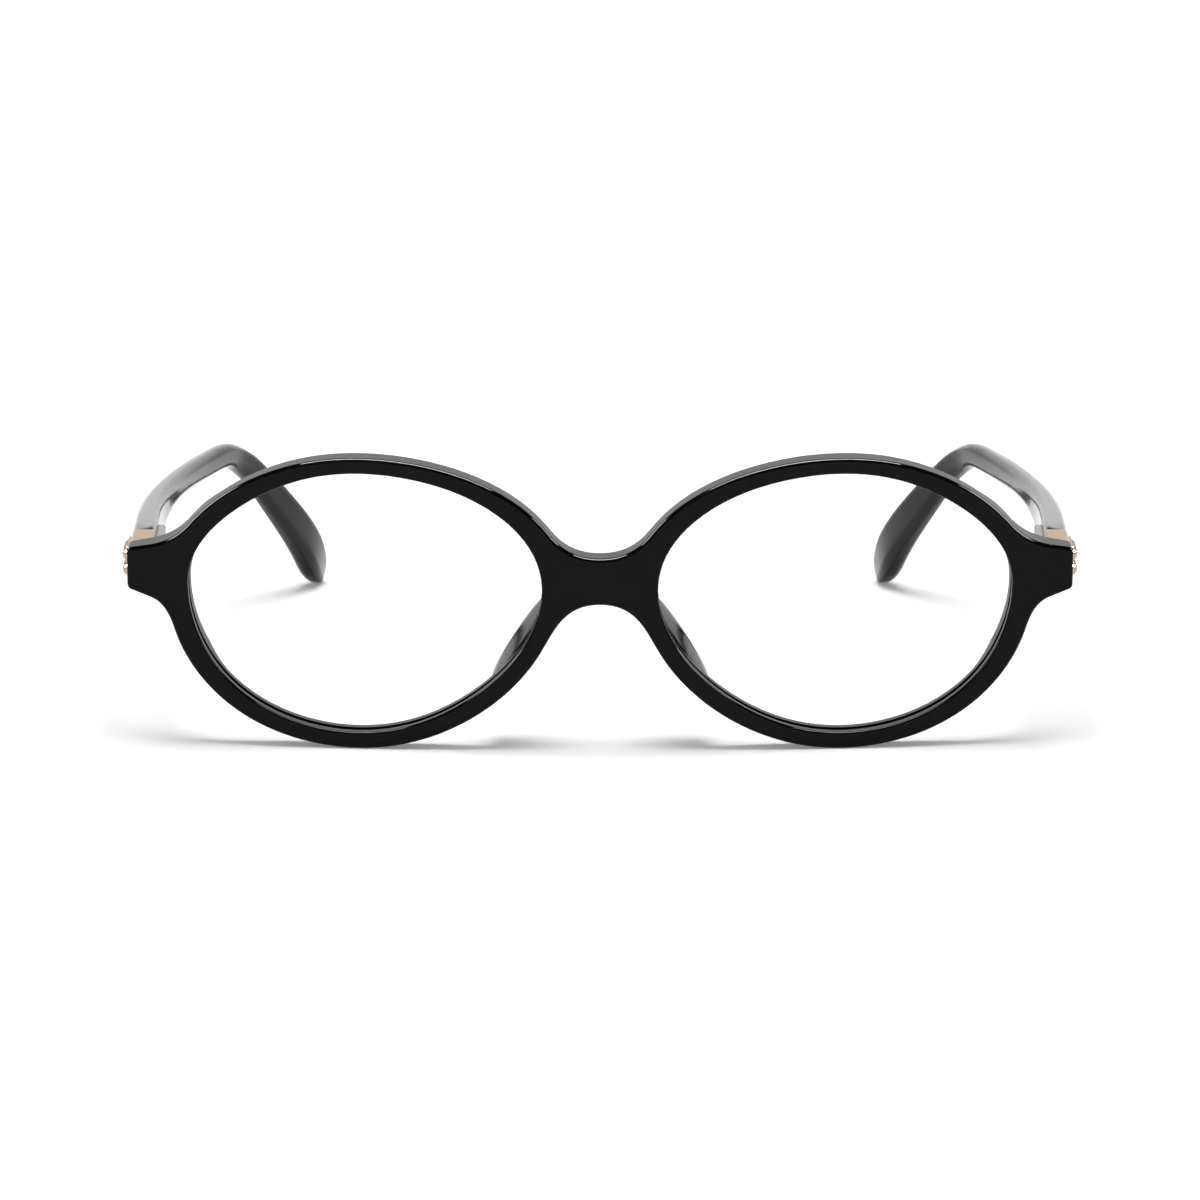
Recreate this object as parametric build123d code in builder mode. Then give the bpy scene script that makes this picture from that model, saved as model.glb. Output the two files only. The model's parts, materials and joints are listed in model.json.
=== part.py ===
from build123d import *
import os
from math import cos, degrees, radians, sin, sqrt

os.makedirs("parts", exist_ok=True)

# Oval acetate eyeglasses with spring hinges, standing on the rims and the temple tips.
# X runs across the front, Y runs back along the temples and Z is up from the table.
# Each paired piece is made for the wearer's left side (+X) and mirrored for the right.

# Common values
overrun = 5.0  # how far a cutting shape runs past what it cuts
fit = 0.04  # clearance round a piece that is seated in another
running_fit = 0.05  # radial clearance of a piece that turns or slides
small_turn = 0.05  # degrees, the step that gives an oval's direction
small_step = 0.05  # the step that gives the temple's direction

# Lens opening of the left rim, an egg-shaped oval seen from the front
opening_centre_x = 35.95
opening_centre_z = 24.55
opening_temporal = 25.35
opening_nasal = 27.35
opening_upper = 17.1
opening_lower = 22.1
opening_fullness_shares = (-0.033, 0.0, -0.033, 0.0115)
oval_points = 24  # points round a whole oval

# Outer edge of the rim, measured out from the opening
rim_width_top = 2.35
rim_width_bottom = 2.51
rim_width_temporal = 3.3
rim_width_nasal_above = 4.15
rim_width_nasal_below = 2.6
rim_fullness_shares = (-0.018, 0.0, -0.02, 0.0115)
rim_edge_radius = 0.5
opening_edge_radius = 0.3

# Bridge, and where its curves leave the rim
bridge_top_z = 29.2
bridge_bottom_z = 22.2
bridge_top_turn = 155
bridge_bottom_turn = 203

# End pieces, and where their curves leave the rim
end_piece_x = 70.45
end_piece_neck_x = 67.0
end_piece_top_z = 29.5
end_piece_bottom_z = 23.35
end_top_slope = 10
end_bottom_slope = 20
end_top_radius = 0.6
end_bottom_radius = 0.9
end_top_turn = 28
end_bottom_turn = 343

# Depth of the front, its bend and its lean
front_thickness = 4.4
wrap_radius = 380.0
front_lean = 2.0  # degrees, the top of the front tips forward
block_start_x = 55.5
block_flat_x = 60.8
block_depth = 11.4
butt_depth = 10.2  # from the front's datum to the faces that the temples close on
butt_gap = 0.1

# Lens and the groove that holds it
lens_thickness = 1.5
lens_seat = 0.75  # how far the lens edge runs into the rim
lens_bevel = 0.5
lens_radius = 174.0
lens_sag = 1.1

# Nose pads, bonded to the back of the rims
pad_centre_x = 10.8
pad_centre_z = 14.7
pad_tilt = -57  # degrees, along the rim
pad_length = 20.5
pad_width = 2.6
pad_reach = 6.8
pad_flare_x = 1.3
pad_flare_z = 0.8
pad_reach_shares = (-0.02, 0.3, 0.6, 0.82, 0.94, 0.99)
pad_length_shares = (1.0, 0.96, 0.88, 0.78, 0.66, 0.52)
pad_width_shares = (1.0, 1.0, 0.92, 0.76, 0.52, 0.22)

# Temple hinge pin and the way the temple points
pin_x = 65.5
pin_depth = 12.2
hinge_z = 26.6
open_angle = 3.0  # degrees that an open temple spreads outward
temple_inner = 1.45  # from the pin axis to the temple's inner face

# Temple, as a rounded bar that hangs from its top line
temple_thickness = 3.6
temple_height = 6.5
waist_thickness = 3.4
waist_height = 4.0
tip_thickness = 4.2
tip_height = 7.0
temple_corner = 0.7
waist_corner = 1.5
temple_straight = 17.0  # behind the pin, before the section starts to change
bow_start = 27.0  # behind the pin
bow_radius = 210.0
ear_length = 89.8  # from the pin to the start of the ear bend
ear_radius = 20.8
ear_turn = 44.5
ear_inset = 6.2  # the extra inward sweep of the tip
ear_inset_start = 94.0
ear_inset_end = 118.0
waist_distance = 60.0  # from the pin to where the temple is slimmest
full_tip_distance = 130.0  # from the pin to where the tip has its full height
toe_share = 0.382
cap_length = 10.0
toe_lift_share = 0.4
straight_shares = (-0.2, 0.5)
bow_shares = (0.0, 0.2, 0.4, 0.6, 0.8, 0.93, 1.0)
bend_shares = (0.2, 0.4, 0.6, 0.8, 1.0)
tip_shares = (0.35, 0.7, 1.0)
cap_shares = (0.35, 0.65, 0.86, 0.96, 0.99)

# Core wire in the temple
core_radius = 0.65
core_start_gap = 0.4
core_end_gap = 9.0
core_stations = 9

# Metal collar round the front of the temple, and its ornament
collar_length = 10.4
collar_wall = 0.6
ornament_length = 9.2
ornament_height = 4.9
ornament_plate = 0.45
ornament_corner = 0.6
bead_radius = 1.05
bead_rise = 0.7
bead_pitch = 2.25
bead_columns = 4
bead_rows = 2

# Hinge barrel and its leaf in the end piece
barrel_radius = 1.1
barrel_height = 6.0
eye_height = 1.8
leaf_width = 4.0
leaf_thickness = 0.8
leaf_centre_x = 64.5
leaf_corner = 0.6
web_thickness = 1.5
rivet_radius = 0.5
rivet_head_radius = 0.8
rivet_head_height = 0.25
rivet_head_taper = 20  # degrees
rivet_offset_x = -1.1
rivet_length = 2.2
rivet_pitch = 3.6
screw_radius = 0.55
screw_head_radius = 0.95
screw_head_height = 0.5
screw_slot_width = 0.25
screw_slot_depth = 0.25

# Spring box on the temple's inner face
case_proud = 1.15
case_thickness = 2.7
case_height = 4.4
case_start = 1.55  # behind the pin axis
case_length = 17.0
case_edge = 0.5
tail_length = 3.2
tail_thickness = 0.7
tail_height = 3.0
tail_screw_radius = 0.45
tail_screw_head = 0.85
tail_screw_head_height = 0.35
tail_screw_length = 1.7

# Slider, spring and nut inside the box
tongue_width = 1.5
tongue_height = 1.7
tongue_end = 4.9
shoulder_wall = 0.8
rod_radius = 0.42
rod_end = 15.4
nut_radius = 0.85
nut_length = 1.0
spring_wire = 0.3
spring_turns = 7
spring_end_gap = 0.1
nut_end_gap = 0.2
spring_bore_radius = 0.95
bore_end = 17.6

# Sizes that follow from the ones above
opening_half_sizes = (opening_temporal, opening_upper, opening_nasal, opening_lower)
rim_half_sizes_above = (
    opening_temporal + rim_width_temporal,
    opening_upper + rim_width_top,
    opening_nasal + rim_width_nasal_above,
    opening_lower + rim_width_bottom,
)
rim_half_sizes_below = (
    opening_temporal + rim_width_temporal,
    opening_upper + rim_width_top,
    opening_nasal + rim_width_nasal_below,
    opening_lower + rim_width_bottom,
)
temple_top_z = hinge_z + temple_height / 2
temple_centre = temple_inner + temple_thickness / 2
bend_drop = ear_radius * (1 - cos(radians(ear_turn)))
tip_length = (temple_top_z - bend_drop - toe_share * tip_height) / sin(radians(ear_turn))
bend_length = radians(ear_turn) * ear_radius
temple_path = ear_length + bend_length + tip_length
temple_reach = (
    ear_length
    + ear_radius * sin(radians(ear_turn))
    + tip_length * cos(radians(ear_turn))
)
front_tall = opening_centre_z + opening_upper + rim_width_top + 2 * overrun
front_reach = bridge_top_z * sin(radians(front_lean))
front_y = -(pin_depth + temple_reach - front_reach) / 2
butt_y = front_y + butt_depth

# Planes of the leaned front: its face, and its plan seen from above
front_up = Vector(0, -sin(radians(front_lean)), cos(radians(front_lean)))
front_back = Vector(0, cos(radians(front_lean)), sin(radians(front_lean)))
face_plane = Plane(origin=(0, front_y, 0), x_dir=(1, 0, 0), z_dir=-front_back)
plan_plane = Plane(
    origin=Vector(0, front_y, 0) - front_up * overrun, x_dir=(1, 0, 0), z_dir=front_up
)
butt_plane = Plane.XZ.offset(-butt_y)

# Plane of the open left temple: X out, Y back along the temple, origin on the pin axis
temple_plane = Plane(
    origin=(pin_x, front_y + pin_depth, 0),
    x_dir=(cos(radians(open_angle)), -sin(radians(open_angle)), 0),
    z_dir=(0, 0, 1),
)


def on_temple(plane):
    """The same plane, carried by the open temple."""
    return Plane(temple_plane.location * plane.location)


def oval_point(turn, half_sizes, fullness_shares):
    """Point of the egg-shaped oval; turn runs from the temple side over the top."""
    temporal, upper, nasal, lower = half_sizes
    across = temporal if cos(radians(turn)) > 0 else nasal
    along = upper if sin(radians(turn)) > 0 else lower
    fullness_share = fullness_shares[int(turn // 90) % 4]
    stretch = 1 + fullness_share * sin(radians(2 * turn)) ** 2
    return Vector(
        opening_centre_x + across * cos(radians(turn)) * stretch,
        opening_centre_z + along * sin(radians(turn)) * stretch,
    )


def oval_way(turn, half_sizes, fullness_shares):
    """Direction of the oval at a turn, as the turn grows."""
    ahead = oval_point(turn + small_turn, half_sizes, fullness_shares)
    behind = oval_point(turn - small_turn, half_sizes, fullness_shares)
    return (ahead - behind).normalized()


def opening_outline(grow):
    """Points round the lens opening, moved out along its normal."""
    points = []
    for index in range(oval_points):
        turn = 360 * index / oval_points
        way = oval_way(turn, opening_half_sizes, opening_fullness_shares)
        outward = Vector(way.Y, -way.X)
        points.append(
            oval_point(turn, opening_half_sizes, opening_fullness_shares) + outward * grow
        )
    return points


def rim_arc(first_turn, last_turn, half_sizes):
    """Spline along the rim's outer edge, from the first turn down to the last."""
    steps = round(abs(last_turn - first_turn) * oval_points / 360)
    turns = [first_turn + (last_turn - first_turn) * step / steps for step in range(steps + 1)]
    return Spline(*[oval_point(turn, half_sizes, rim_fullness_shares) for turn in turns])


def wrap_depth(x, radius):
    """How far a bent sheet of this radius lies back at a distance from the middle."""
    return radius - sqrt(radius**2 - x**2)


# Front: its outline on the face plane, cut from a bent sheet with thicker hinge blocks
end_top_way = Vector(cos(radians(end_top_slope)), -sin(radians(end_top_slope)))
end_bottom_way = Vector(-cos(radians(end_bottom_slope)), -sin(radians(end_bottom_slope)))
end_run = end_piece_x - end_piece_neck_x
corner_top = Vector(end_piece_x, end_piece_top_z)
corner_bottom = Vector(end_piece_x, end_piece_bottom_z)
neck_top = corner_top - end_top_way * (end_run / end_top_way.X)
neck_bottom = corner_bottom - end_bottom_way * (end_run / end_bottom_way.X)

with BuildPart() as front:
    with BuildSketch(face_plane):
        with BuildLine():
            upper_rim = rim_arc(bridge_top_turn, end_top_turn, rim_half_sizes_above)
            lower_rim = rim_arc(end_bottom_turn, bridge_bottom_turn, rim_half_sizes_below)
            Spline((0, bridge_top_z), upper_rim @ 0, tangents=((1, 0), upper_rim % 0))
            Spline(upper_rim @ 1, neck_top, tangents=(upper_rim % 1, end_top_way))
            FilletPolyline(
                neck_top,
                corner_top,
                corner_bottom,
                neck_bottom,
                radius=(end_top_radius, end_bottom_radius),
            )
            Spline(neck_bottom, lower_rim @ 0, tangents=(end_bottom_way, lower_rim % 0))
            Spline(lower_rim @ 1, (0, bridge_bottom_z), tangents=(lower_rim % 1, (-1, 0)))
            mirror(about=Plane.YZ)
        make_face()
    extrude(amount=block_depth + overrun, both=True)
    sheet_x = end_piece_x + overrun
    back_radius = wrap_radius - front_thickness
    with BuildSketch(plan_plane):
        with BuildLine():
            ThreePointArc(
                (0, 0),
                (sheet_x / 2, wrap_depth(sheet_x / 2, wrap_radius)),
                (sheet_x, wrap_depth(sheet_x, wrap_radius)),
            )
            Line((sheet_x, wrap_depth(sheet_x, wrap_radius)), (sheet_x, block_depth))
            Line((sheet_x, block_depth), (block_flat_x, block_depth))
            block_start = (block_start_x, front_thickness + wrap_depth(block_start_x, back_radius))
            Spline(
                (block_flat_x, block_depth),
                block_start,
                tangents=((-1, 0), (-1, -block_start_x / back_radius)),
            )
            ThreePointArc(
                block_start,
                (
                    block_start_x / 2,
                    front_thickness + wrap_depth(block_start_x / 2, back_radius),
                ),
                (0, front_thickness),
            )
            mirror(about=Plane.YZ)
        make_face()
    extrude(amount=front_tall, mode=Mode.INTERSECT)
    split(bisect_by=butt_plane, keep=Keep.TOP)
    front_skin = front.faces().filter_by(GeomType.CYLINDER).sort_by(SortBy.AREA)[-1]
    fillet(front_skin.edges(), radius=rim_edge_radius)

    with BuildSketch(face_plane):
        with BuildLine():
            Spline(*opening_outline(0), periodic=True)
        make_face()
        mirror(about=Plane.YZ)
    extrude(amount=block_depth + overrun, both=True, mode=Mode.SUBTRACT)
    front_skin = front.faces().filter_by(GeomType.CYLINDER).sort_by(SortBy.AREA)[-1]
    fillet([wire.edges() for wire in front_skin.inner_wires()], radius=opening_edge_radius)


def lens_blank(grow, thickness):
    """A bevelled lens of the left opening, its edge moved out from the opening."""
    middle_radius = wrap_radius - front_thickness / 2
    lens_x = opening_centre_x + (opening_temporal - opening_nasal) / 2
    lens_z = opening_centre_z + (opening_upper - opening_lower) / 2
    inward = Vector(-lens_x / middle_radius, sqrt(1 - (lens_x / middle_radius) ** 2))
    middle = Vector(lens_x, front_thickness / 2 + wrap_depth(lens_x, middle_radius))
    ball = middle + inward * (lens_radius - lens_sag)
    ball_centre = face_plane.origin + front_back * ball.Y + front_up * lens_z
    with BuildPart() as blank:
        with BuildSketch(face_plane):
            with BuildLine():
                Spline(*opening_outline(grow), periodic=True)
            make_face()
        extrude(amount=block_depth, both=True)
        with Locations(ball_centre + Vector(ball.X)):
            Sphere(radius=lens_radius + thickness / 2, mode=Mode.INTERSECT)
            Sphere(radius=lens_radius - thickness / 2, mode=Mode.SUBTRACT)
        chamfer(blank.edges(), length=lens_bevel)
    return blank.part


# Lens, with the bevelled edge that snaps into the groove of the rim
with BuildPart() as lens:
    add(lens_blank(lens_seat, lens_thickness))

# Grooves in the rims, and the seats of the hinge leaves and their rivets
leaf_centre = Vector(leaf_centre_x, butt_y, hinge_z)
leaf_plane = Plane(origin=leaf_centre, x_dir=(1, 0, 0), z_dir=(0, -1, 0))
rivet_places = [(rivet_offset_x, -rivet_pitch / 2), (rivet_offset_x, rivet_pitch / 2)]
with BuildPart() as front_seats:
    add(lens_blank(lens_seat + fit, lens_thickness + 2 * fit))
    with BuildSketch(leaf_plane):
        RectangleRounded(leaf_width + 2 * fit, barrel_height + 2 * fit, leaf_corner)
    extrude(amount=leaf_thickness + fit)
    with BuildSketch(leaf_plane):
        with Locations(*rivet_places):
            Circle(rivet_radius + fit)
    extrude(amount=leaf_thickness + rivet_length + fit)
with BuildPart() as finished_front:
    add(front.part)
    add(front_seats.part, mode=Mode.SUBTRACT)
    add(front_seats.part.mirror(Plane.YZ), mode=Mode.SUBTRACT)

# Nose pad: a tapering bump behind the rim that flares away from the nose
pad_face = face_plane.offset(-front_thickness)
with BuildPart() as nose_pad:
    for reach_share, length_share, width_share in zip(
        pad_reach_shares, pad_length_shares, pad_width_shares
    ):
        flare_share = max(reach_share, 0)
        with BuildSketch(pad_face.offset(-pad_reach * reach_share)):
            with Locations(
                (pad_centre_x + pad_flare_x * flare_share, pad_centre_z + pad_flare_z * flare_share)
            ):
                Ellipse(
                    pad_length * length_share / 2,
                    pad_width * width_share / 2,
                    rotation=pad_tilt,
                )
    loft()
    add(finished_front.part, mode=Mode.SUBTRACT)


def between(first, last, share):
    """The value a share of the way from the first to the last."""
    return first + (last - first) * share


def eased(share):
    """The same share, but starting and ending gently."""
    share = min(max(share, 0), 1)
    return share**2 * (3 - 2 * share)


def temple_inset(back):
    """How far the temple lies inside its straight line at a distance behind the pin."""
    bow = min(max(back, bow_start), ear_length) - bow_start
    past_ear = max(back - ear_length, 0)
    ear_share = (back - ear_inset_start) / (ear_inset_end - ear_inset_start)
    return (bow**2 / 2 + bow * past_ear) / bow_radius + ear_inset * eased(ear_share)


def temple_section_plane(distance):
    """Plane across the temple at a distance along its top line, with its origin on it."""
    bend = max(distance - ear_length, 0)
    turn = min(degrees(bend / ear_radius), ear_turn)
    after = max(bend - bend_length, 0)
    back = min(distance, ear_length)
    back += ear_radius * sin(radians(turn)) + after * cos(radians(turn))
    drop = ear_radius * (1 - cos(radians(turn))) + after * sin(radians(turn))
    yaw = (temple_inset(back + small_step) - temple_inset(back - small_step)) / (2 * small_step)
    across = Vector(1, yaw, 0).normalized()
    along = Vector(-yaw * cos(radians(turn)), cos(radians(turn)), -sin(radians(turn)))
    top = Vector(temple_centre - temple_inset(back), back, temple_top_z - drop)
    return on_temple(Plane(origin=top, x_dir=across, z_dir=-along))


def temple_height_at(distance):
    """Height of the temple at a distance along its top line, short of its rounded end."""
    if distance < ear_length:
        waist_share = (distance - temple_straight) / (waist_distance - temple_straight)
        return between(temple_height, waist_height, eased(waist_share))
    tip_share = (distance - ear_length) / (full_tip_distance - ear_length)
    return between(waist_height, tip_height, eased(tip_share))


# Stations along the temple: distance, thickness, height, corner radius, lift of the toe
temple_stations = []
for share in straight_shares:
    temple_stations.append(
        (temple_straight * share, temple_thickness, temple_height, temple_corner, 0)
    )
for share in bow_shares:
    temple_stations.append(
        (
            between(temple_straight, ear_length, share),
            between(temple_thickness, waist_thickness, share),
            temple_height_at(between(temple_straight, ear_length, share)),
            between(temple_corner, waist_corner, min(1, 2 * share)),
            0,
        )
    )
for share in bend_shares:
    temple_stations.append(
        (
            ear_length + bend_length * share,
            waist_thickness,
            temple_height_at(ear_length + bend_length * share),
            waist_corner,
            0,
        )
    )
for share in tip_shares:
    temple_stations.append(
        (
            between(ear_length + bend_length, temple_path - cap_length, share),
            between(waist_thickness, tip_thickness, share),
            temple_height_at(between(ear_length + bend_length, temple_path - cap_length, share)),
            waist_corner,
            0,
        )
    )
for share in cap_shares:
    round_share = sqrt(1 - share**2)
    temple_stations.append(
        (
            temple_path - cap_length * (1 - share),
            tip_thickness * round_share,
            tip_height * round_share,
            waist_corner * round_share,
            tip_height * (1 - round_share) * toe_lift_share,
        )
    )

with BuildPart() as temple_bar:
    for distance, thickness, height, corner, lift in temple_stations:
        with BuildSketch(temple_section_plane(distance)):
            with Locations((0, -height / 2 - lift)):
                RectangleRounded(thickness, height, corner)
    loft()
    split(bisect_by=butt_plane.offset(-butt_gap), keep=Keep.BOTTOM)


# Collar: a C of metal round the front of the temple, open to the hinge side
def temple_cross(back):
    """Plane across the straight front of the temple, its origin on the bar's centre."""
    return on_temple(Plane(origin=(temple_centre, back, hinge_z), x_dir=(1, 0, 0), z_dir=(0, -1, 0)))


core_thickness = temple_thickness - collar_wall
core_height = temple_height - 2 * collar_wall
collar_end = butt_depth - pin_depth + collar_length
with BuildPart() as collar:
    with BuildSketch(temple_cross(collar_end)):
        RectangleRounded(temple_thickness, temple_height, temple_corner)
        with Locations((-collar_wall / 2 - overrun / 2, 0)):
            Rectangle(core_thickness + overrun, core_height, mode=Mode.SUBTRACT)
    extrude(amount=collar_length + overrun)
    split(bisect_by=butt_plane.offset(-butt_gap), keep=Keep.BOTTOM)

# Ornament: a plate with two rows of round beads on the collar's outer face
ornament_face = on_temple(
    Plane(
        origin=(temple_inner + temple_thickness, collar_end - collar_length / 2, hinge_z),
        x_dir=(0, 1, 0),
        z_dir=(1, 0, 0),
    )
)
with BuildPart(ornament_face) as ornament:
    with BuildSketch(ornament_face):
        RectangleRounded(ornament_length, ornament_height, ornament_corner)
    extrude(amount=ornament_plate)
    bead_centre = ornament_plate + bead_rise - bead_radius
    with Locations((0, 0, bead_centre)):
        with GridLocations(bead_pitch, bead_pitch, bead_columns, bead_rows):
            Sphere(radius=bead_radius)
    with BuildSketch(ornament_face):
        Rectangle(ornament_length + overrun, ornament_height + overrun)
    extrude(amount=-overrun, mode=Mode.SUBTRACT)

# Spring box: a case with a slot for the tongue, a shoulder and a bore for the spring
case_centre = temple_inner - case_proud + case_thickness / 2
case_end = case_start + case_length


def case_cross(back):
    """Plane across the spring box, its origin on the axis of the rod."""
    return on_temple(Plane(origin=(case_centre, back, hinge_z), x_dir=(1, 0, 0), z_dir=(0, -1, 0)))


tail_x = temple_inner - case_centre
with BuildPart() as spring_case:
    with BuildSketch(case_cross(case_end)):
        Rectangle(case_thickness, case_height)
    extrude(amount=case_length)
    inner_face = spring_case.faces().sort_by(Axis.X)[0]
    fillet(inner_face.edges(), radius=case_edge)
    with BuildSketch(case_cross(case_end + tail_length)):
        with Locations((tail_x, 0)):
            Rectangle(tail_thickness, tail_height, align=(Align.MIN, Align.CENTER))
    extrude(amount=tail_length + case_edge)
    with BuildSketch(case_cross(case_start)):
        Rectangle(tongue_width + 2 * running_fit, tongue_height + 2 * running_fit)
    extrude(amount=case_start - tongue_end, mode=Mode.SUBTRACT)
    with BuildSketch(case_cross(bore_end)):
        Circle(rod_radius + running_fit)
    extrude(amount=bore_end - tongue_end, mode=Mode.SUBTRACT)
    with BuildSketch(case_cross(bore_end)):
        Circle(spring_bore_radius)
    extrude(amount=bore_end - tongue_end - shoulder_wall, mode=Mode.SUBTRACT)

# Slider: the temple's knuckle on the hinge pin, its tongue in the slot and its rod
with BuildPart() as spring_slider:
    with BuildSketch(temple_plane.offset(hinge_z - eye_height / 2 + running_fit)):
        Circle(barrel_radius)
        with BuildLine():
            Polyline(
                (0, -barrel_radius),
                (case_centre + tongue_width / 2, case_start - running_fit),
                (case_centre + tongue_width / 2, tongue_end),
                (case_centre - tongue_width / 2, tongue_end),
                (case_centre - tongue_width / 2, case_start),
                (0, 0),
                close=True,
            )
        make_face()
        Circle(screw_radius + running_fit, mode=Mode.SUBTRACT)
    extrude(amount=eye_height - 2 * running_fit)
    with BuildSketch(case_cross(rod_end)):
        Circle(rod_radius)
    extrude(amount=rod_end - tongue_end + rod_radius)

# Nut on the end of the rod, and the coil spring between it and the shoulder
nut_back = rod_end - nut_end_gap
with BuildPart() as spring_nut:
    with BuildSketch(case_cross(nut_back)):
        Circle(nut_radius)
        Circle(rod_radius + fit, mode=Mode.SUBTRACT)
    extrude(amount=nut_length)

spring_start = tongue_end + shoulder_wall + spring_end_gap + spring_wire / 2
spring_stop = nut_back - nut_length - spring_end_gap - spring_wire / 2
spring_radius = spring_bore_radius - running_fit - spring_wire / 2
spring_plane = on_temple(
    Plane(origin=(case_centre, spring_start, hinge_z), x_dir=(1, 0, 0), z_dir=(0, 1, 0))
)
with BuildPart() as hinge_spring:
    with BuildLine() as coil:
        Helix(
            pitch=(spring_stop - spring_start) / spring_turns,
            height=spring_stop - spring_start,
            radius=spring_radius,
            center=spring_plane.origin,
            direction=spring_plane.z_dir,
        )
    with BuildSketch(Plane(origin=coil.line @ 0, z_dir=coil.line % 0)):
        Circle(spring_wire / 2)
    sweep(is_frenet=True)

# Screw that holds the tail of the spring box in the temple
tail_face = on_temple(
    Plane(
        origin=(temple_inner, case_end + tail_length / 2, hinge_z),
        x_dir=(0, 1, 0),
        z_dir=(-1, 0, 0),
    )
)
with BuildPart() as case_screw:
    with BuildSketch(tail_face):
        Circle(tail_screw_head)
    extrude(amount=-tail_screw_head_height)
    with BuildSketch(tail_face):
        Circle(tail_screw_radius)
    extrude(amount=-(tail_thickness + tail_screw_length))
    with BuildSketch(tail_face):
        Rectangle(2 * tail_screw_head, screw_slot_width)
    extrude(amount=-screw_slot_depth, mode=Mode.SUBTRACT)
with BuildPart() as finished_case:
    add(spring_case.part)
    with BuildSketch(tail_face):
        Circle(tail_screw_head + fit)
    extrude(amount=-(tail_screw_head_height + fit), mode=Mode.SUBTRACT)
    with BuildSketch(tail_face):
        Circle(tail_screw_radius + fit)
    extrude(amount=-(tail_thickness + fit), mode=Mode.SUBTRACT)


# Core wire along the middle of the temple, and its bore
def core_wire_loft(radius):
    """A round wire that follows the temple's own curve."""
    start = case_end + tail_length + core_start_gap
    with BuildPart() as wire:
        for station in range(core_stations + 1):
            distance = between(start, temple_path - core_end_gap, station / core_stations)
            with BuildSketch(temple_section_plane(distance)):
                with Locations((0, -temple_height_at(distance) / 2)):
                    Circle(radius)
        loft()
    return wire.part


with BuildPart() as core_wire:
    add(core_wire_loft(core_radius))

# Temple: the bar with its seats for the collar, the spring box and the core wire
with BuildPart() as temple:
    add(temple_bar.part)
    with BuildSketch(temple_cross(collar_end + fit)):
        Rectangle(temple_thickness + overrun, temple_height + overrun)
        with Locations((-collar_wall / 2 - fit / 2 - overrun / 2, 0)):
            Rectangle(core_thickness - fit + overrun, core_height - 2 * fit, mode=Mode.SUBTRACT)
    extrude(amount=collar_length + overrun, mode=Mode.SUBTRACT)
    with BuildSketch(case_cross(case_end + fit)):
        with Locations((case_thickness / 2 + fit, 0)):
            Rectangle(
                case_thickness + overrun, case_height + 2 * fit, align=(Align.MAX, Align.CENTER)
            )
    extrude(amount=case_length + overrun, mode=Mode.SUBTRACT)
    with BuildSketch(tail_face):
        with Locations((fit / 2, 0)):
            Rectangle(tail_length + fit, tail_height + 2 * fit)
    extrude(amount=-(tail_thickness + fit), mode=Mode.SUBTRACT)
    with BuildSketch(tail_face):
        Circle(tail_screw_radius + fit)
    extrude(amount=-(tail_thickness + tail_screw_length + fit), mode=Mode.SUBTRACT)
    add(core_wire_loft(core_radius + fit), mode=Mode.SUBTRACT)

# Front half of the hinge: a leaf sunk in the end piece and two knuckles
pin_plane = Plane(origin=(pin_x, front_y + pin_depth, 0), z_dir=(0, 0, 1))
knuckle_height = (barrel_height - eye_height) / 2
with BuildPart() as front_hinge:
    with BuildSketch(leaf_plane):
        RectangleRounded(leaf_width, barrel_height, leaf_corner)
    extrude(amount=leaf_thickness)
    for knuckle_z in (hinge_z - barrel_height / 2, hinge_z + eye_height / 2):
        with BuildSketch(pin_plane.offset(knuckle_z)):
            Circle(barrel_radius)
            with Locations((-barrel_radius, 0)):
                Rectangle(web_thickness, pin_depth - butt_depth, align=(Align.MIN, Align.MAX))
        extrude(amount=knuckle_height)
    with BuildSketch(pin_plane.offset(hinge_z - barrel_height / 2)):
        Circle(screw_radius + fit)
    extrude(amount=barrel_height, mode=Mode.SUBTRACT)
    with BuildSketch(leaf_plane):
        with Locations(*rivet_places):
            Circle(rivet_radius + fit)
    extrude(amount=leaf_thickness, mode=Mode.SUBTRACT)

# Two rivets of the leaf, with low round heads
with BuildPart() as hinge_rivets:
    with BuildSketch(leaf_plane):
        with Locations(*rivet_places):
            Circle(rivet_radius)
    extrude(amount=leaf_thickness + rivet_length)
    with BuildSketch(leaf_plane):
        with Locations(*rivet_places):
            Circle(rivet_head_radius)
    extrude(amount=-rivet_head_height, taper=rivet_head_taper)

# Hinge screw with a slotted head
with BuildPart() as hinge_screw:
    with BuildSketch(pin_plane.offset(hinge_z - barrel_height / 2)):
        Circle(screw_radius)
    extrude(amount=barrel_height)
    with BuildSketch(pin_plane.offset(hinge_z + barrel_height / 2)):
        Circle(screw_head_radius)
    extrude(amount=screw_head_height)
    with BuildSketch(pin_plane.offset(hinge_z + barrel_height / 2 + screw_head_height)):
        Rectangle(2 * screw_head_radius, screw_slot_width)
    extrude(amount=-screw_slot_depth, mode=Mode.SUBTRACT)

# Write every piece, and its mirror image for the wearer's right side
finished_front.part.label = "front"
export_step(finished_front.part, "parts/front.step")
paired_pieces = {
    "lens": lens,
    "nose_pad": nose_pad,
    "temple": temple,
    "core_wire": core_wire,
    "collar": collar,
    "ornament": ornament,
    "spring_case": finished_case,
    "case_screw": case_screw,
    "spring_slider": spring_slider,
    "hinge_spring": hinge_spring,
    "spring_nut": spring_nut,
    "front_hinge": front_hinge,
    "hinge_rivets": hinge_rivets,
    "hinge_screw": hinge_screw,
}
for name, piece in paired_pieces.items():
    piece.part.label = f"{name}_left"
    export_step(piece.part, f"parts/{name}_left.step")
    with BuildPart() as twin:
        mirror(piece.part, about=Plane.YZ)
    twin.part.label = f"{name}_right"
    export_step(twin.part, f"parts/{name}_right.step")
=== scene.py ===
"""Oval acetate eyeglasses with spring hinges: finishes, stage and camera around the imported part."""

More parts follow.
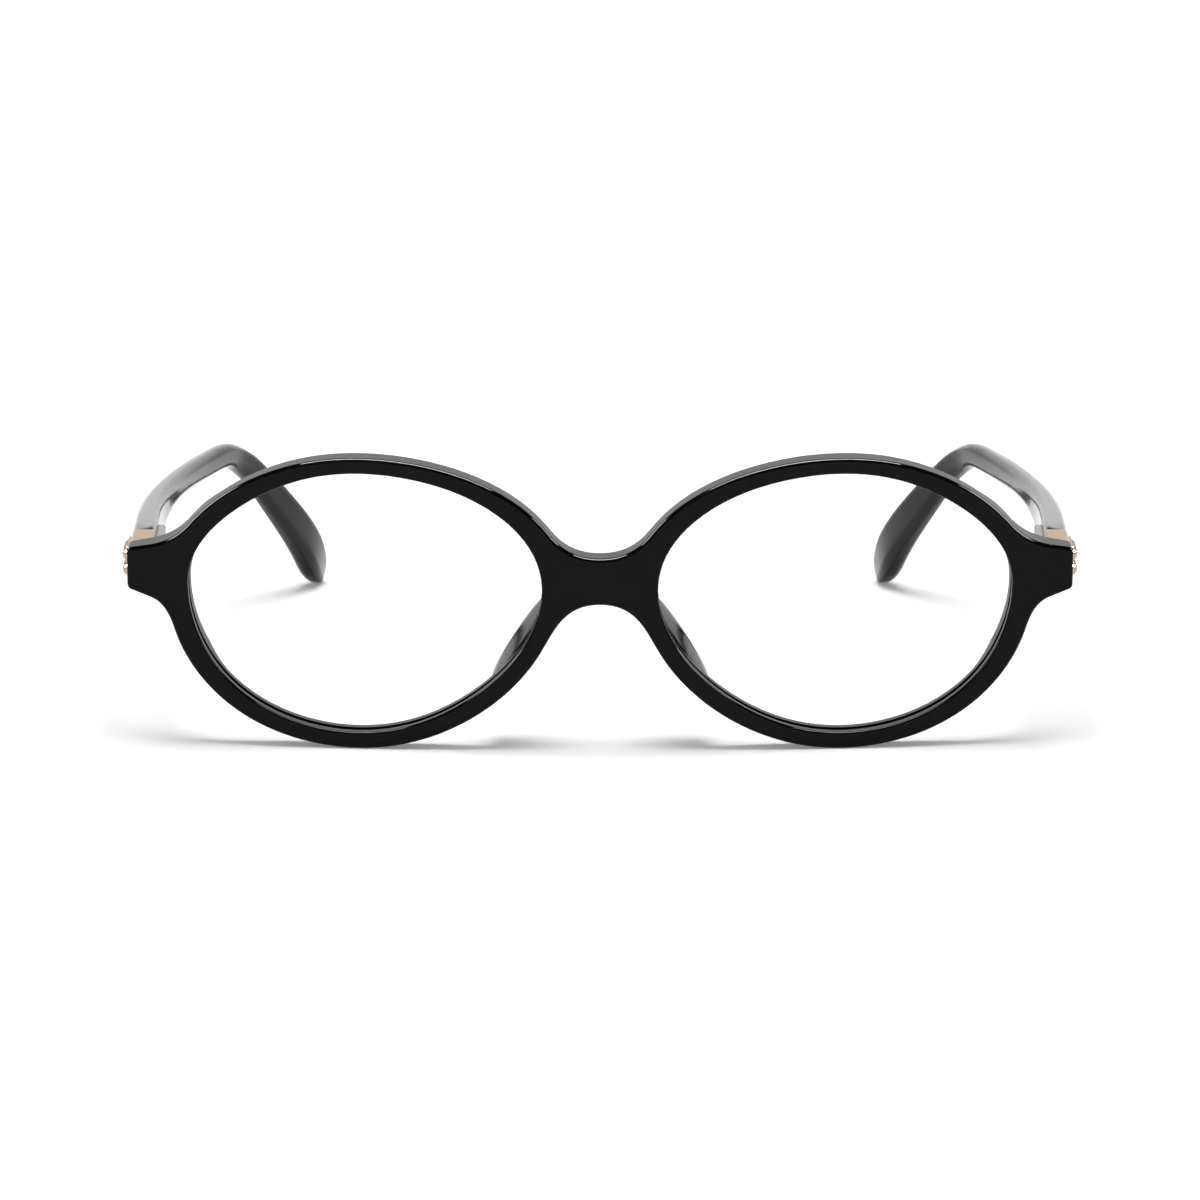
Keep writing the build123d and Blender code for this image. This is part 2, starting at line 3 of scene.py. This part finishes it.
import json
from math import cos, radians, sin

import bmesh
import bpy
from bpy.props import FloatProperty, FloatVectorProperty, PointerProperty
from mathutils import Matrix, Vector


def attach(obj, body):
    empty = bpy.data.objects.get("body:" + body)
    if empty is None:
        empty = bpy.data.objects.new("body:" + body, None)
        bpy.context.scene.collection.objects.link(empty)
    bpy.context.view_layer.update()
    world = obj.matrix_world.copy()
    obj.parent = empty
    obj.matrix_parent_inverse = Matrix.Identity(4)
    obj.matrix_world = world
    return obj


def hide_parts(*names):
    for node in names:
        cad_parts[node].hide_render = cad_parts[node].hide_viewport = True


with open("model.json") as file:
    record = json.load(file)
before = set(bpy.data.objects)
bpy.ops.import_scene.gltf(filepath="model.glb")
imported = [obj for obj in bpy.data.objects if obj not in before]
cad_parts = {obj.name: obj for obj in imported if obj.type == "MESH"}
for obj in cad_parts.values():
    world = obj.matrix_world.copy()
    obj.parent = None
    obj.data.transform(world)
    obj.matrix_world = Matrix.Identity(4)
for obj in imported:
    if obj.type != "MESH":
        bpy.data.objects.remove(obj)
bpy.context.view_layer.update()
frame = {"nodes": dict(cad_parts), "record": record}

bl_info = {
    "name": "Oval acetate eyeglasses",
    "version": (1, 0, 0),
    "blender": (4, 5, 0),
    "location": "3D View > Sidebar > Eyeglasses",
    "description": "Finishes the parts of a pair of oval eyeglasses and sets the stage",
    "category": "Object",
}

MM = 0.001  # metres in a millimetre
SIDES = ("left", "right")

# Pieces copied from the CAD are merged at this distance, and soften past this crease.
MERGE_DISTANCE = 0.002 * MM
CREASE_ANGLE = radians(32)

# Between these levels a noise pattern takes a finish from its glossiest to its dullest.
NOISE_LOW = 0.3
NOISE_HIGH = 0.7

# Acetate: how far its gloss strays from the mean, and how much light a front made of
# buffed sheet and the softer tumbled pieces throw back. The share of Y in the normal tells
# the walls that the router cut from the faces of the sheet.
ACETATE_IOR = 1.48
ACETATE_UNEVENNESS = 0.15
BUFFED_SPECULAR = 0.11
TUMBLED_SPECULAR = 0.3
WALL_NORMAL = 0.15
FACE_NORMAL = 0.4

# Metal: its roughness strays between these shares, and its grain is this deep.
METAL_GLOSSIEST = 0.8
METAL_DULLEST = 1.25
GRAIN_DEPTH = 0.002 * MM
GRAIN_STRENGTH = 0.4

# Coated lens: how steep a view has to be before it starts to bend and reflect, and where
# that is complete, on Layer Weight's scale from 0, square on, to 1, along the surface.
COATED_IOR = 1.22
SLANT_START = 0.15
SLANT_END = 0.5

# The photograph's camera, from the rims' and temple tips' places on the table
PIN_TO_FACE = 12.2 * MM  # from the hinge pin forward to the face of the front
TARGET_HEIGHT = 22.9 * MM
FOCAL_PIXELS = 4735.0
IMAGE_PIXELS = 1200.0
SENSOR_WIDTH = 36.0
CLIP_START = 0.01

TABLE_SIZE = 12.0
TABLE_GAP = 0.02 * MM  # below the piece, so that the two don't flicker

# The table glows a little where it is seen, more and more between these distances.
WHITE_START = 0.1
WHITE_END = 1.2
NEAR_LIFT = 0.2
FAR_LIFT = 0.85

# The room: its strength as a light and to the eye. To a gloss it dims from these heights
# and depths of a direction on, towards the ceiling and the camera's end.
ROOM_LIGHT = 0.25
ROOM_SEEN = 1.0
CEILING_START = 0.35
CEILING_END = 0.6
CEILING_LEVEL = 0.2
CAMERA_END_START = -0.6
CAMERA_END_STOP = 0.0
CAMERA_END_LEVEL = 0.25

# Lamps that face the middle of the table: name, place, width and depth in metres, power
# in watts, and whether it lights the scene or is only seen in a gloss
LAMPS = (
    ("overhead", (0.0, -0.06, 1.0), (0.6, 0.6), 9.5, True),
    ("fill", (-0.4, -1.0, 0.9), (0.6, 0.6), 1.0, True),
    ("back panel", (0.0, 1.6, 0.5), (1.2, 1.2), 1.8, True),
    ("top strip", (0.0, -0.1, 1.0), (1.0, 0.3), 90.0, False),
    ("left strip", (-0.8, -0.1, 0.5), (0.35, 0.35), 25.0, False),
    ("right strip", (0.8, -0.1, 0.5), (0.35, 0.35), 25.0, False),
)


def linear(colour_hex):
    """The linear colour of an sRGB hex value."""
    channels = [int(colour_hex[place : place + 2], 16) / 255 for place in (0, 2, 4)]
    return tuple(c / 12.92 if c <= 0.04045 else ((c + 0.055) / 1.055) ** 2.4 for c in channels)


def opaque(colour):
    """A colour as a shader socket takes it."""
    return (*colour, 1.0)


def add_node(tree, kind, inputs=None, links=None, **settings):
    """Adds a node to a tree with its settings, the values of its inputs and its links."""
    node = tree.nodes.new(kind)
    for name, value in settings.items():
        setattr(node, name, value)
    for name, value in (inputs or {}).items():
        node.inputs[name].default_value = value
    for name, source in (links or {}).items():
        tree.links.new(source, node.inputs[name])
    return node


def new_material(name):
    """A fresh material, its node tree, its output node and its Object coordinates."""
    material = bpy.data.materials.new(name)
    material.use_nodes = True
    tree = material.node_tree
    tree.nodes.clear()
    output = tree.nodes.new("ShaderNodeOutputMaterial")
    place = tree.nodes.new("ShaderNodeTexCoord").outputs["Object"]
    return material, tree, output, place


class EyeglassesSizes(bpy.types.PropertyGroup):
    """Sizes and colours of the finishes and the camera."""

    acetate_colour: FloatVectorProperty(
        name="Acetate",
        description="Colour of the acetate sheet",
        subtype="COLOR",
        min=0.0,
        max=1.0,
        default=linear("030303"),
    )
    plating_colour: FloatVectorProperty(
        name="Plating",
        description="Colour of the collars and their plaques",
        subtype="COLOR",
        min=0.0,
        max=1.0,
        default=linear("b8a692"),
    )
    hinge_colour: FloatVectorProperty(
        name="Hinge metal",
        description="Colour of the plated hinge pieces",
        subtype="COLOR",
        min=0.0,
        max=1.0,
        default=linear("b4b3b0"),
    )
    metal_edge: FloatProperty(
        name="Metal edge",
        description="Radius that tumbling leaves on the edges of the metal pieces",
        unit="LENGTH",
        default=0.07 * MM,
    )
    camera_distance: FloatProperty(
        name="Camera distance",
        description="From the camera to the face of the front",
        unit="LENGTH",
        default=0.7,
    )
    camera_tilt: FloatProperty(
        name="Camera tilt",
        description="How far the camera looks down",
        unit="ROTATION",
        default=radians(10.9),
    )


def sizes():
    """The sizes and colours that the panel shows."""
    return bpy.context.scene.eyeglasses


# Materials


def acetate(name, roughness, haze_size, specular, wall_roughness=None):
    """Cellulose acetate, tumbled and hand polished: near black, with a soft uneven gloss.

    The hand's pressure shows as patches of haze, haze_size across. On a piece cut from
    sheet, the routed walls, whose normal has no Y, stay duller than the faces.
    """
    material, tree, output, place = new_material(name)
    haze = add_node(
        tree,
        "ShaderNodeTexNoise",
        inputs={"Scale": 1 / haze_size, "Detail": 3.0, "Roughness": 0.6},
        links={"Vector": place},
    )
    gloss = add_node(
        tree,
        "ShaderNodeMapRange",
        inputs={
            "From Min": NOISE_LOW,
            "From Max": NOISE_HIGH,
            "To Min": roughness * (1 - ACETATE_UNEVENNESS),
            "To Max": roughness * (1 + ACETATE_UNEVENNESS),
        },
        links={"Value": haze.outputs["Fac"]},
    )
    polish = gloss.outputs["Result"]
    if wall_roughness:
        polish = duller_walls(tree, polish, roughness, wall_roughness)
    shader = add_node(
        tree,
        "ShaderNodeBsdfPrincipled",
        inputs={
            "Base Color": opaque(sizes().acetate_colour),
            "IOR": ACETATE_IOR,
            "Specular IOR Level": specular,
        },
        links={"Roughness": polish},
    )
    tree.links.new(shader.outputs["BSDF"], output.inputs["Surface"])
    return material


def duller_walls(tree, polish, roughness, wall_roughness):
    """The polish of a sheet's faces, rougher on the walls that the router cut through it."""
    normal = add_node(
        tree,
        "ShaderNodeSeparateXYZ",
        links={"Vector": tree.nodes.new("ShaderNodeTexCoord").outputs["Normal"]},
    )
    across = add_node(tree, "ShaderNodeMath", links={0: normal.outputs["Y"]}, operation="ABSOLUTE")
    wall = add_node(
        tree,
        "ShaderNodeMapRange",
        inputs={
            "From Min": WALL_NORMAL,
            "From Max": FACE_NORMAL,
            "To Min": wall_roughness,
            "To Max": roughness,
        },
        links={"Value": across.outputs[0]},
    )
    rougher = add_node(
        tree,
        "ShaderNodeMath",
        links={0: polish, 1: wall.outputs["Result"]},
        operation="MAXIMUM",
    )
    return rougher.outputs[0]


def metal(name, colour, roughness, grain_size, stretch, depth=GRAIN_DEPTH, edge_tint="ffffff"):
    """Metal, plated or bare, with a fine grain that runs the way the piece was finished.

    stretch draws the grain out along an axis. The real grain is finer still, and is drawn
    as coarse as it needs to show.
    """
    material, tree, output, place = new_material(name)
    mapping = add_node(
        tree,
        "ShaderNodeMapping",
        inputs={"Scale": [1 / (grain_size * part) for part in stretch]},
        links={"Vector": place},
    )
    grain = add_node(
        tree,
        "ShaderNodeTexNoise",
        inputs={"Scale": 1.0, "Detail": 2.0, "Roughness": 0.5},
        links={"Vector": mapping.outputs["Vector"]},
    )
    gloss = add_node(
        tree,
        "ShaderNodeMapRange",
        inputs={
            "From Min": NOISE_LOW,
            "From Max": NOISE_HIGH,
            "To Min": roughness * METAL_GLOSSIEST,
            "To Max": roughness * METAL_DULLEST,
        },
        links={"Value": grain.outputs["Fac"]},
    )
    bump = add_node(
        tree,
        "ShaderNodeBump",
        inputs={"Strength": GRAIN_STRENGTH, "Distance": depth},
        links={"Height": grain.outputs["Fac"]},
    )
    shader = add_node(
        tree,
        "ShaderNodeBsdfPrincipled",
        inputs={
            "Base Color": opaque(colour),
            "Metallic": 1.0,
            "Specular Tint": opaque(linear(edge_tint)),
        },
        links={"Roughness": gloss.outputs["Result"], "Normal": bump.outputs["Normal"]},
    )
    tree.links.new(shader.outputs["BSDF"], output.inputs["Surface"])
    return material


def lens_resin(name):
    """Coated optical resin, cast and polished: clear, with hardly any reflection.

    The coating takes the reflection away, so the IOR is lower than the resin's own. A view
    that meets the lens square on goes straight through, and the shadow it casts is pale.
    """
    material, tree, output, _ = new_material(name)
    shader = add_node(
        tree,
        "ShaderNodeBsdfPrincipled",
        inputs={
            "Base Color": opaque(linear("fbfefd")),
            "Roughness": 0.0,
            "IOR": COATED_IOR,
            "Transmission Weight": 1.0,
        },
    )
    straight = add_node(
        tree, "ShaderNodeBsdfTransparent", inputs={"Color": opaque(linear("fefefe"))}
    )
    shadow = add_node(
        tree, "ShaderNodeBsdfTransparent", inputs={"Color": opaque(linear("f4f7f6"))}
    )
    slant = add_node(tree, "ShaderNodeLayerWeight", inputs={"Blend": 0.5})
    square_on = add_node(
        tree,
        "ShaderNodeMapRange",
        inputs={"From Min": SLANT_START, "From Max": SLANT_END, "To Min": 1.0, "To Max": 0.0},
        links={"Value": slant.outputs["Facing"]},
    )
    coated = add_node(
        tree,
        "ShaderNodeMixShader",
        links={0: square_on.outputs["Result"], 1: shader.outputs[0], 2: straight.outputs[0]},
    )
    rays = tree.nodes.new("ShaderNodeLightPath")
    lens = add_node(
        tree,
        "ShaderNodeMixShader",
        links={0: rays.outputs["Is Shadow Ray"], 1: coated.outputs[0], 2: shadow.outputs[0]},
    )
    tree.links.new(lens.outputs[0], output.inputs["Surface"])
    return material


# Shapes


def set_material(piece, material):
    """Gives a piece one material all over."""
    piece.data.materials.clear()
    piece.data.materials.append(material)


def dressed_copy(node, material, edge):
    """A merged copy of a CAD node with fine rounded edges, shown in its place."""
    mesh = frame["nodes"][node].data.copy()
    shape = bmesh.new()
    shape.from_mesh(mesh)
    bmesh.ops.remove_doubles(shape, verts=shape.verts, dist=MERGE_DISTANCE)
    shape.to_mesh(mesh)
    shape.free()
    piece = bpy.data.objects.new(f"{node}_finished", mesh)
    bpy.context.scene.collection.objects.link(piece)
    mesh.shade_smooth()
    mesh.set_sharp_from_angle(angle=CREASE_ANGLE)
    if edge:
        bevel = piece.modifiers.new("edge", "BEVEL")
        bevel.width = edge
        bevel.segments = 2
        bevel.limit_method = "ANGLE"
        bevel.angle_limit = CREASE_ANGLE
        bevel.use_clamp_overlap = True
    level = piece.modifiers.new("level", "WEIGHTED_NORMAL")
    level.keep_sharp = True
    set_material(piece, material)
    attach(piece, body_of(node))
    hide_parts(node)
    return piece


def body_of(node):
    """The moving body that carries a CAD node."""
    for body, members in frame["record"]["behaviour"]["bodies"].items():
        if node in members:
            return body
    raise ValueError(f"no body carries {node}")


def finish_pair(name, material, edge=0.0, as_copy=True):
    """Finishes the left and the right one of a CAD piece, on a smoother copy or as it is."""
    for side in SIDES:
        if as_copy:
            dressed_copy(f"{name}_{side}", material, edge)
        else:
            set_material(frame["nodes"][f"{name}_{side}"], material)


# Operators


class EYEGLASSES_OT_front(bpy.types.Operator):
    """Polishes the acetate front"""

    bl_idname = "eyeglasses.front"
    bl_label = "Front"

    def execute(self, context):
        # Buffed on its faces, which shine nearly black, and satin and greyer on its walls
        buffed = acetate(
            "Polished black acetate",
            roughness=0.06,
            haze_size=14 * MM,
            specular=BUFFED_SPECULAR,
            wall_roughness=0.35,
        )
        set_material(frame["nodes"]["front"], buffed)
        return {"FINISHED"}


class EYEGLASSES_OT_nose_pads(bpy.types.Operator):
    """Polishes the bonded nose pads"""

    bl_idname = "eyeglasses.nose_pads"
    bl_label = "Nose pads"

    def execute(self, context):
        # Filed and buffed by hand after they are bonded, so softer in gloss and patchier
        filed = acetate(
            "Hand filed black acetate",
            roughness=0.12,
            haze_size=6 * MM,
            specular=TUMBLED_SPECULAR,
        )
        finish_pair("nose_pad", filed)
        return {"FINISHED"}


class EYEGLASSES_OT_lenses(bpy.types.Operator):
    """Makes the lenses clear"""

    bl_idname = "eyeglasses.lenses"
    bl_label = "Lenses"

    def execute(self, context):
        finish_pair("lens", lens_resin("Reflection free clear resin"), as_copy=False)
        return {"FINISHED"}


class EYEGLASSES_OT_temples(bpy.types.Operator):
    """Polishes the acetate temples"""

    bl_idname = "eyeglasses.temples"
    bl_label = "Temples"

    def execute(self, context):
        # Tumbled all round, which spreads the light into broad grey sheens
        tumbled = acetate(
            "Tumbled black acetate",
            roughness=0.1,
            haze_size=12 * MM,
            specular=TUMBLED_SPECULAR,
        )
        finish_pair("temple", tumbled)
        return {"FINISHED"}


class EYEGLASSES_OT_core_wires(bpy.types.Operator):
    """Finishes the core wires inside the temples"""

    bl_idname = "eyeglasses.core_wires"
    bl_label = "Core wires"

    def execute(self, context):
        # The die leaves fine lines along the wire, which dull it
        drawn = metal(
            "Drawn nickel silver wire",
            linear("b9b2a4"),
            roughness=0.35,
            grain_size=0.05 * MM,
            stretch=(1, 12, 1),
        )
        finish_pair("core_wire", drawn, as_copy=False)
        return {"FINISHED"}


class EYEGLASSES_OT_collars(bpy.types.Operator):
    """Finishes the metal collars"""

    bl_idname = "eyeglasses.collars"
    bl_label = "Collars"

    def execute(self, context):
        # Brushed along the temple before it is plated: warm, with a stretched highlight
        satin = metal(
            "Satin pale rose gold plate",
            sizes().plating_colour,
            roughness=0.18,
            grain_size=0.06 * MM,
            stretch=(1, 14, 1),
            edge_tint="cdc3b6",
        )
        finish_pair("collar", satin, sizes().metal_edge)
        return {"FINISHED"}


class EYEGLASSES_OT_ornaments(bpy.types.Operator):
    """Finishes the beaded plaques"""

    bl_idname = "eyeglasses.ornaments"
    bl_label = "Plaques"

    def execute(self, context):
        # Buffed over its beads, each of which carries a small bright highlight
        polished = metal(
            "Polished pale rose gold plate",
            sizes().plating_colour,
            roughness=0.14,
            grain_size=0.1 * MM,
            stretch=(1, 1, 1),
            edge_tint="cdc3b6",
        )
        finish_pair("ornament", polished, sizes().metal_edge)
        return {"FINISHED"}


class EYEGLASSES_OT_hinges(bpy.types.Operator):
    """Finishes the plated hinge pieces"""

    bl_idname = "eyeglasses.hinges"
    bl_label = "Hinges"

    def execute(self, context):
        # Plated loose in a barrel: bright and even, a neutral silver
        plated = metal(
            "Barrel plated nickel",
            sizes().hinge_colour,
            roughness=0.16,
            grain_size=0.08 * MM,
            stretch=(1, 6, 1),
            edge_tint="bdbcb9",
        )
        for name in ("front_hinge", "spring_slider", "spring_case"):
            finish_pair(name, plated, sizes().metal_edge)
        finish_pair("spring_nut", plated, as_copy=False)
        return {"FINISHED"}


class EYEGLASSES_OT_screws(bpy.types.Operator):
    """Finishes the screws and the rivets"""

    bl_idname = "eyeglasses.screws"
    bl_label = "Screws and rivets"

    def execute(self, context):
        # Turned on a lathe, whose marks make the heads a little duller than the plating
        turned = metal(
            "Turned steel",
            linear("bdbcb9"),
            roughness=0.3,
            grain_size=0.05 * MM,
            stretch=(1, 1, 6),
        )
        for name in ("hinge_screw", "hinge_rivets", "case_screw"):
            finish_pair(name, turned, sizes().metal_edge)
        return {"FINISHED"}


class EYEGLASSES_OT_springs(bpy.types.Operator):
    """Finishes the coil springs in the hinges"""

    bl_idname = "eyeglasses.springs"
    bl_label = "Springs"

    def execute(self, context):
        # Hard drawn and left bare: a cool grey with little shine
        wire = metal(
            "Patented spring wire",
            linear("a9a8a5"),
            roughness=0.32,
            grain_size=0.04 * MM,
            stretch=(1, 1, 1),
            depth=0.001 * MM,
        )
        finish_pair("hinge_spring", wire, as_copy=False)
        return {"FINISHED"}


class EYEGLASSES_OT_stage(bpy.types.Operator):
    """Sets the table, the soft light and the camera"""

    bl_idname = "eyeglasses.stage"
    bl_label = "Stage"

    def execute(self, context):
        self.set_table(context)
        self.set_world(context)
        self.set_lamps(context)
        self.set_camera(context)
        context.scene.view_settings.view_transform = "Standard"
        return {"FINISHED"}

    def seen(self, tree):
        """One where a ray from the camera, a gloss or a clear piece sees the surface."""
        rays = tree.nodes.new("ShaderNodeLightPath")
        either = add_node(
            tree,
            "ShaderNodeMath",
            links={0: rays.outputs["Is Camera Ray"], 1: rays.outputs["Is Glossy Ray"]},
            operation="MAXIMUM",
        )
        any_ray = add_node(
            tree,
            "ShaderNodeMath",
            links={0: either.outputs[0], 1: rays.outputs["Is Transmission Ray"]},
            operation="MAXIMUM",
        )
        return any_ray.outputs[0]

    def set_table(self, context):
        """A plain white table top that keeps the shadow and is full white farther off."""
        material, tree, output, place = new_material("Matt white table")
        matt = add_node(
            tree, "ShaderNodeBsdfDiffuse", inputs={"Color": opaque(linear("f4f4f4"))}
        )
        glow = add_node(tree, "ShaderNodeEmission", inputs={"Color": opaque(linear("ffffff"))})
        reach = add_node(tree, "ShaderNodeVectorMath", links={0: place}, operation="LENGTH")
        white = add_node(
            tree,
            "ShaderNodeMapRange",
            inputs={
                "From Min": WHITE_START,
                "From Max": WHITE_END,
                "To Min": NEAR_LIFT,
                "To Max": FAR_LIFT,
            },
            links={"Value": reach.outputs["Value"]},
        )
        lift = add_node(
            tree,
            "ShaderNodeMath",
            links={0: self.seen(tree), 1: white.outputs["Result"]},
            operation="MULTIPLY",
        )
        tree.links.new(lift.outputs[0], glow.inputs["Strength"])
        both = add_node(tree, "ShaderNodeAddShader", links={0: matt.outputs[0], 1: glow.outputs[0]})
        tree.links.new(both.outputs[0], output.inputs["Surface"])
        shape = bmesh.new()
        bmesh.ops.create_grid(shape, x_segments=1, y_segments=1, size=TABLE_SIZE / 2)
        bmesh.ops.translate(shape, verts=shape.verts, vec=(0, 0, -TABLE_GAP))
        mesh = bpy.data.meshes.new("table")
        shape.to_mesh(mesh)
        shape.free()
        table = bpy.data.objects.new("table", mesh)
        context.scene.collection.objects.link(table)
        set_material(table, material)

    def set_world(self, context):
        """A white room: full white where it is seen, softer where it lights.

        A gloss sees its walls white and its ceiling and the camera's end dim.
        """
        world = bpy.data.worlds.new("White room")
        context.scene.world = world
        world.use_nodes = True
        tree = world.node_tree
        tree.nodes.clear()
        strength = add_node(
            tree,
            "ShaderNodeMapRange",
            inputs={"To Min": ROOM_LIGHT, "To Max": ROOM_SEEN},
            links={"Value": self.seen(tree)},
        )
        way = tree.nodes.new("ShaderNodeTexCoord").outputs["Generated"]
        parts = add_node(tree, "ShaderNodeSeparateXYZ", links={"Vector": way})
        ceiling = add_node(
            tree,
            "ShaderNodeMapRange",
            inputs={
                "From Min": CEILING_START,
                "From Max": CEILING_END,
                "To Min": ROOM_SEEN,
                "To Max": CEILING_LEVEL,
            },
            links={"Value": parts.outputs["Z"]},
        )
        camera_end = add_node(
            tree,
            "ShaderNodeMapRange",
            inputs={
                "From Min": CAMERA_END_START,
                "From Max": CAMERA_END_STOP,
                "To Min": CAMERA_END_LEVEL,
                "To Max": ROOM_SEEN,
            },
            links={"Value": parts.outputs["Y"]},
        )
        dim = add_node(
            tree,
            "ShaderNodeMath",
            links={0: ceiling.outputs[0], 1: camera_end.outputs[0]},
            operation="MULTIPLY",
        )
        rays = tree.nodes.new("ShaderNodeLightPath")
        level = add_node(
            tree,
            "ShaderNodeMix",
            links={0: rays.outputs["Is Glossy Ray"], 2: strength.outputs[0], 3: dim.outputs[0]},
        )
        room = add_node(
            tree,
            "ShaderNodeBackground",
            inputs={"Color": opaque(linear("ffffff"))},
            links={"Strength": level.outputs[0]},
        )
        output = tree.nodes.new("ShaderNodeOutputWorld")
        tree.links.new(room.outputs[0], output.inputs["Surface"])

    def set_lamps(self, context):
        """A lamp right above the front, two weak panels, and three strips for its edges.

        The strips are seen in a gloss and light nothing.
        """
        for name, place, size, power, lights in LAMPS:
            data = bpy.data.lights.new(name, "AREA")
            data.shape = "RECTANGLE"
            data.size, data.size_y = size
            data.energy = power
            lamp = bpy.data.objects.new(name, data)
            context.scene.collection.objects.link(lamp)
            lamp.location = place
            lamp.rotation_euler = (-Vector(place)).to_track_quat("-Z", "Y").to_euler()
            lamp.visible_diffuse = lights
            lamp.visible_transmission = lights

    def set_camera(self, context):
        """The photograph's camera."""
        pin = Vector(frame["record"]["behaviour"]["joints"][0]["pos_m"])
        target = Vector((0.0, pin.y - PIN_TO_FACE, TARGET_HEIGHT))
        tilt = sizes().camera_tilt
        back = Vector((0.0, -cos(tilt), sin(tilt))) * sizes().camera_distance
        data = bpy.data.cameras.new("camera")
        data.sensor_width = SENSOR_WIDTH
        data.lens = SENSOR_WIDTH * FOCAL_PIXELS / IMAGE_PIXELS
        data.clip_start = CLIP_START
        camera = bpy.data.objects.new("camera", data)
        context.scene.collection.objects.link(camera)
        camera.location = target + back
        camera.rotation_euler = (radians(90) - tilt, 0.0, 0.0)
        context.scene.camera = camera


class EYEGLASSES_PT_panel(bpy.types.Panel):
    """Lists the pieces and their sizes"""

    bl_idname = "EYEGLASSES_PT_panel"
    bl_label = "Eyeglasses"
    bl_space_type = "VIEW_3D"
    bl_region_type = "UI"
    bl_category = "Eyeglasses"

    def draw(self, context):
        for name in EyeglassesSizes.__annotations__:
            self.layout.prop(context.scene.eyeglasses, name)
        for operator in OPERATORS:
            self.layout.operator(operator.bl_idname)


OPERATORS = (
    EYEGLASSES_OT_front,
    EYEGLASSES_OT_nose_pads,
    EYEGLASSES_OT_lenses,
    EYEGLASSES_OT_temples,
    EYEGLASSES_OT_core_wires,
    EYEGLASSES_OT_collars,
    EYEGLASSES_OT_ornaments,
    EYEGLASSES_OT_hinges,
    EYEGLASSES_OT_screws,
    EYEGLASSES_OT_springs,
    EYEGLASSES_OT_stage,
)
CLASSES = (EyeglassesSizes, *OPERATORS, EYEGLASSES_PT_panel)


def register():
    """Adds the classes and the sizes to Blender."""
    for new_class in CLASSES:
        bpy.utils.register_class(new_class)
    bpy.types.Scene.eyeglasses = PointerProperty(type=EyeglassesSizes)


def unregister():
    """Takes the classes and the sizes out again."""
    del bpy.types.Scene.eyeglasses
    for old_class in reversed(CLASSES):
        bpy.utils.unregister_class(old_class)


def main():
    """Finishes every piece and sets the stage."""
    register()
    bpy.ops.eyeglasses.front()
    bpy.ops.eyeglasses.nose_pads()
    bpy.ops.eyeglasses.lenses()
    bpy.ops.eyeglasses.temples()
    bpy.ops.eyeglasses.core_wires()
    bpy.ops.eyeglasses.collars()
    bpy.ops.eyeglasses.ornaments()
    bpy.ops.eyeglasses.hinges()
    bpy.ops.eyeglasses.screws()
    bpy.ops.eyeglasses.springs()
    bpy.ops.eyeglasses.stage()


if __name__ == "__main__":
    main()
